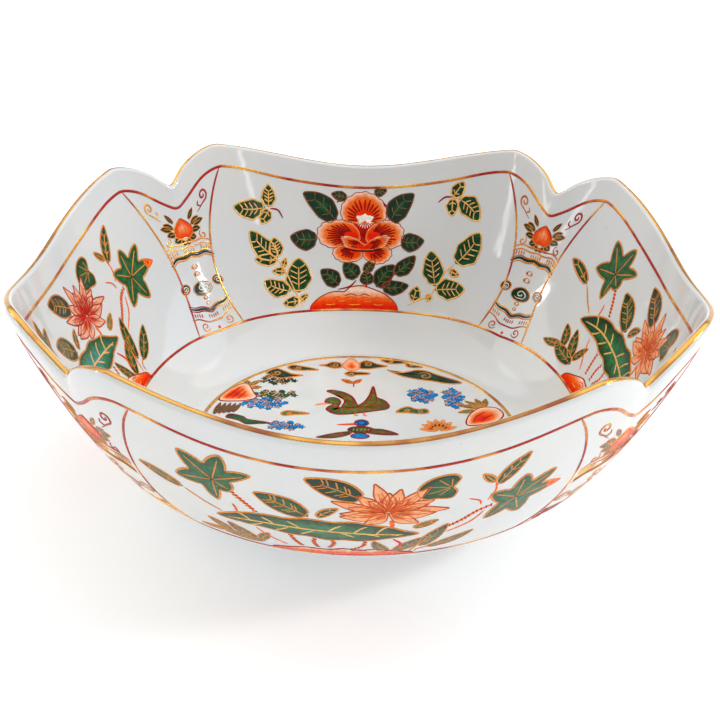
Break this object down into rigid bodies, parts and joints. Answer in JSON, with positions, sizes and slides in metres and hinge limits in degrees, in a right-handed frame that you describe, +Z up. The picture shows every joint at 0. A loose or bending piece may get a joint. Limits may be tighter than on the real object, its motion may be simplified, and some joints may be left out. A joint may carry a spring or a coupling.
{
  "type": "porcelain serving bowl",
  "caption": "Square-bodied serving bowl with a swelling lip, pinched and notched corners, a round foot ring and painted panel lines.",
  "frame": {"origin": "on the table under the middle of the bowl, at the level of the foot ring's bare edge", "axes": "+Z up through the middle of the bowl; +X, -X, +Y and -Y point at the middles of the four sides, and the notched corners lie on the diagonals"},
  "size_m": [0.25, 0.25, 0.1009],
  "materials": {
    "porcelain": "gloss",
    "bare_porcelain": "matte",
    "gilding": "polished",
    "red_enamel": "gloss",
    "orange_enamel": "gloss",
    "green_enamel": "gloss",
    "blue_enamel": "gloss",
    "yellow_enamel": "gloss"
  },
  "bodies": {
    "root": {"bowl_body": "porcelain", "foot_ring": "bare_porcelain", "gilt_lip": "gilding", "inner_frame_line": "red_enamel", "outer_frame_line": "red_enamel", "inner_dividers": "red_enamel", "outer_dividers": "red_enamel", "well_line": "red_enamel", "medallion_line": "gilding", "outer_base_line": "red_enamel"}
  },
  "joints": []
}
